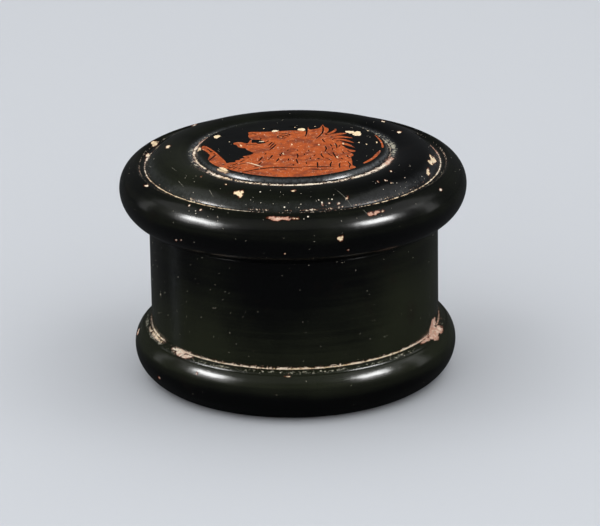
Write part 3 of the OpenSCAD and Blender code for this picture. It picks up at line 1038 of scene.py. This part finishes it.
def paint_lid(lid):
    """Worn lines, chips and bare parts of the lid, and dulled lines that are partly painted highlight and
    sheen.
    """
    r, z = lid.outline.T
    under = (np.abs(z - SEAT_Z) < 0.25) & (r < WALL_R - SEAT_MARGIN)
    recess = (np.abs(r - RECESS_R) < 0.4) & (z < RECESS_Z - 1.0)
    lid.bare = np.repeat(np.where(under | recess, 1.0, -2.0)[:, None], SEGMENTS, 1)
    for line in LID_WORN:
        lid.wear_line(*line)
    for line in LID_RUBBED_AND_SHEEN:
        lid.rub_and_sheen_line(*line)
    cushion = (r > RING_OUT_R) & (r < GROOVE_IN_R) & (z > GROOVE_Z)
    rest = EDGE_THIN * ramp(z, *EDGE_FADE_Z)
    lid.thin = np.where(cushion[:, None], round_about(CUSHION_THIN), rest[:, None])
    for seed, chip in enumerate(LID_CHIPS, FIRST_LID_SEED):
        lid.cut_chip(seed, *chip)
    for crowd in LID_CROWDS:
        lid.crowd_specks(*crowd)


def make_piece(name, outline, paint, materials, closing=None):
    turned = Turned(outline)
    turned.uneven()
    paint(turned)
    return turned_mesh(name, turned, materials, closing)


# Staging
FLOOR_COLOUR = (0.545, 0.565, 0.595)
FLOOR_HALF = 6.0
BACKGROUND = (0.65, 0.67, 0.71)
MIRRORED_FLOOR = 0.075  # share of the floor's brightness that the gloss mirrors
MIRRORED_WORLD = 0.08  # and of the pale air above it
AMBIENT = 0.3  # and what lights the object from there


def make_floor():
    mesh = bpy.data.meshes.new("floor")
    h = FLOOR_HALF
    mesh.from_pydata([(-h, -h, 0), (h, -h, 0), (h, h, 0), (-h, h, 0)], [], [(0, 1, 2, 3)])
    floor = add_object("floor", mesh)
    material = bpy.data.materials.new("floor")
    material.use_nodes = True
    g = Graph(material.node_tree)
    path = g.node("LightPath").outputs
    seen = g.mix(path["Is Glossy Ray"], 1.0, MIRRORED_FLOOR)
    shader = g.node("BsdfDiffuse", {"Color": g.mix(seen, (0.0, 0.0, 0.0), FLOOR_COLOUR)})
    g.node("OutputMaterial", {"Surface": shader.outputs[0]})
    mesh.materials.append(material)


def make_world():
    world = bpy.data.worlds.new("studio")
    bpy.context.scene.world = world
    world.use_nodes = True
    g = Graph(world.node_tree)
    path = g.node("LightPath").outputs
    seen = g.plus(path["Is Camera Ray"], path["Is Transmission Ray"])
    seen = g.plus(seen, g.times(path["Is Glossy Ray"], MIRRORED_WORLD))
    seen = g.math("ADD", seen, g.times(path["Is Diffuse Ray"], AMBIENT), clamp=True)
    background = g.node("Background", {"Color": (*BACKGROUND, 1.0), "Strength": seen})
    g.node("OutputWorld", {"Surface": background.outputs[0]})


LAMP_DISTANCE = 1.5
LAMP_AIM = Vector((0.0, 0.0, 0.03))

# Lamps: name, azimuth, elevation, spread (across, up) in degrees, and radiance.
# These light the object, and the gloss doesn't mirror them.
SOFT_LAMPS = (
    ("side_left", -65.0, 46.0, (62.0, 50.0), 1.35),
    ("side_right", 60.0, 46.0, (62.0, 50.0), 1.35),
    ("fill_front", -5.0, 18.0, (84.0, 28.0), 1.3),
    ("overhead", 180.0, 66.0, (90.0, 66.0), 1.1),
)

# These are seen only in the gloss
MIRRORED_LAMPS = (
    ("key_left", -67.0, 28.2, (31.0, 23.6), 3.9),
    ("key_right", 59.0, 28.5, (25.0, 22.0), 3.9),
    ("glow_left", -98.0, 46.0, (40.0, 26.0), 0.45),
    ("glow_right", 88.0, 46.0, (54.0, 30.0), 0.5),
    ("glow_front", 0.0, 58.0, (70.0, 44.0), 0.17),
    ("strip_left", -113.0, 8.0, (7.0, 40.0), 0.7),
    ("strip_right", 100.0, 18.0, (11.0, 36.0), 0.9),
    ("glint_left", -70.0, 31.5, (22.0, 11.5), 30.0),
    ("glint_right", 60.0, 31.5, (21.0, 11.5), 30.0),
)


def make_lamp(name, azimuth, elevation, spread, radiance):
    """A rectangular lamp. Radiance 1 would show it as plain white."""
    data = bpy.data.lights.new(name, "AREA")
    data.shape = "RECTANGLE"
    data.size, data.size_y = (2 * LAMP_DISTANCE * math.tan(math.radians(s / 2)) for s in spread)
    data.energy = radiance * math.pi * data.size * data.size_y
    lamp = add_object(name, data)
    lamp.location = LAMP_AIM + direction(azimuth, elevation) * LAMP_DISTANCE
    lamp.rotation_euler = (LAMP_AIM - lamp.location).to_track_quat("-Z", "Y").to_euler()
    return lamp


def make_lamps():
    for lamp in SOFT_LAMPS:
        make_lamp(*lamp).visible_glossy = False
    for lamp in MIRRORED_LAMPS:
        make_lamp(*lamp).visible_diffuse = False


make_camera()
make_world()
make_lamps()
make_floor()
bpy.context.scene.view_settings.view_transform = "Standard"

slip = black_gloss()
box = make_piece("thrown_box", box_outline(), paint_box, [slip])
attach(box, "box")
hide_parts("box")
lid_materials = [slip, figure_clay(), broken_clay()]
lid = make_piece("thrown_lid", lid_outline()[::-1], paint_lid, lid_materials, picture_disc)
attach(lid, "lid")
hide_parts("lid")
